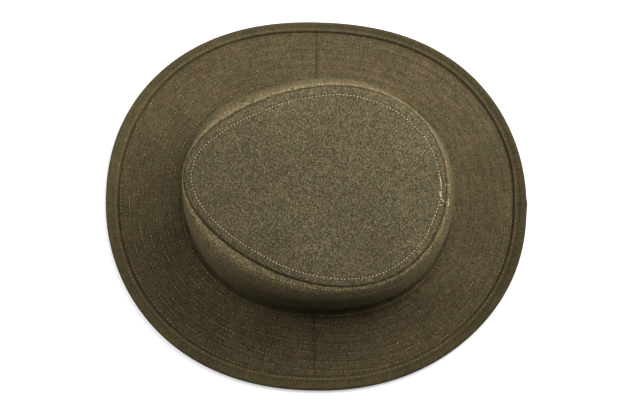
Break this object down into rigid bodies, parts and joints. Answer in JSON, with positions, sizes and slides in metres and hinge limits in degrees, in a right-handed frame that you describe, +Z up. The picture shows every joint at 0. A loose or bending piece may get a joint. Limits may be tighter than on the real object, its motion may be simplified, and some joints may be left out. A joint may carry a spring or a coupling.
{
  "type": "cloth campaign hat",
  "caption": "Soft cloth campaign hat with a flat egg-shaped top, a low crown and a wide round brim quilted with rows of stitches and bound at its edge.",
  "frame": {"origin": "centre of the brim's outline, on the surface that the brim's edge rests on", "axes": "-Y is the front of the hat, +Y its back, +X its wearer's left side, +Z up"},
  "size_m": [0.2814, 0.3166, 0.0903],
  "materials": {
    "crown_tip_cloth": "coarse mottled olive-brown cloth, matt",
    "crown_side_cloth": "coarse mottled olive-brown cloth, matt",
    "brim_cloth": "olive-brown cloth quilted with rows of tan stitches, matt",
    "binding_cloth": "smooth olive-brown cloth strip folded round the edge, matt"
  },
  "bodies": {
    "root": {"crown_tip": "crown_tip_cloth", "crown_side": "crown_side_cloth", "brim_front": "brim_cloth", "brim_back": "brim_cloth", "brim_binding": "binding_cloth"}
  },
  "joints": []
}
